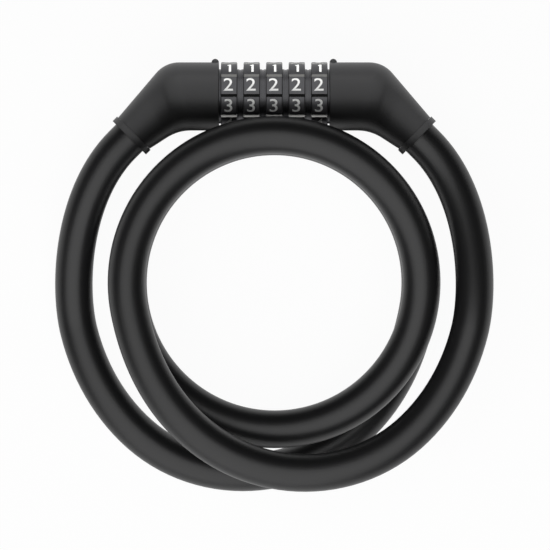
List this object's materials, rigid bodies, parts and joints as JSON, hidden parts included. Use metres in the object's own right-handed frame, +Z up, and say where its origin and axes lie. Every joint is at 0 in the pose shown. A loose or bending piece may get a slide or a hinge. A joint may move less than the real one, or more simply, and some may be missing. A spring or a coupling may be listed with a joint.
{
  "type": "cable lock",
  "caption": "Coiled cable lock: a jacketed steel cable whose ends meet in a tubular combination lock with number dials and two bent end housings.",
  "frame": {"origin": "middle of the flat underside of the cable loop that carries the lock body", "axes": "+X along the lock body from the fixed end to the pin end, +Y from the coil towards the lock body, +Z up"},
  "size_m": [0.1738, 0.1722, 0.0432],
  "materials": {
    "housing": "satin black coating on a zinc casting",
    "collar": "satin black",
    "jacket": "matte black vinyl",
    "rope": "galvanised steel rope",
    "core": "turned steel",
    "spacer": "dark grey nylon",
    "spring_steel": "blackened spring steel",
    "hardened_pin": "hardened, polished steel",
    "cross_pin": "plain steel",
    "ferrule": "crimped aluminium",
    "dial": "satin black coating on a zinc casting",
    "code_ring": "turned brass"
  },
  "bodies": {
    "lock_head": {"head_elbow": "housing", "head_collar": "collar", "cable_jacket": "jacket", "wire_rope": "rope", "barrel_core": "core", "dial_spacers": "spacer", "retaining_ring": "spring_steel", "detent_spring": "spring_steel", "core_cross_pin": "cross_pin", "head_ferrule": "ferrule", "head_ferrule_pin": "cross_pin"},
    "pin_end": {"pin_elbow": "housing", "pin_collar": "collar", "lock_pin": "hardened_pin", "lock_cross_pin": "cross_pin", "pin_ferrule": "ferrule", "pin_ferrule_pin": "cross_pin"},
    "dial_1": {"dial_1": "dial", "code_ring_1": "code_ring"},
    "dial_2": {"dial_2": "dial", "code_ring_2": "code_ring"},
    "dial_3": {"dial_3": "dial", "code_ring_3": "code_ring"},
    "dial_4": {"dial_4": "dial", "code_ring_4": "code_ring"},
    "dial_5": {"dial_5": "dial", "code_ring_5": "code_ring"}
  },
  "joints": [
    {"name": "pin_slide", "type": "slide", "parent": "lock_head", "child": "pin_end", "axis": [1, 0, 0], "range_m": [0, 0.05], "deforming": ["cable_jacket", "wire_rope"]},
    {"name": "dial_1_turn", "type": "hinge", "parent": "lock_head", "child": "dial_1", "pos_m": [0, 0.0156, 0.02087], "axis": [1, 0, 0], "continuous": true, "deforming": ["detent_spring"]},
    {"name": "dial_2_turn", "type": "hinge", "parent": "lock_head", "child": "dial_2", "pos_m": [0, 0.0156, 0.02087], "axis": [1, 0, 0], "continuous": true},
    {"name": "dial_3_turn", "type": "hinge", "parent": "lock_head", "child": "dial_3", "pos_m": [0, 0.0156, 0.02087], "axis": [1, 0, 0], "continuous": true},
    {"name": "dial_4_turn", "type": "hinge", "parent": "lock_head", "child": "dial_4", "pos_m": [0, 0.0156, 0.02087], "axis": [1, 0, 0], "continuous": true},
    {"name": "dial_5_turn", "type": "hinge", "parent": "lock_head", "child": "dial_5", "pos_m": [0, 0.0156, 0.02087], "axis": [1, 0, 0], "continuous": true}
  ]
}
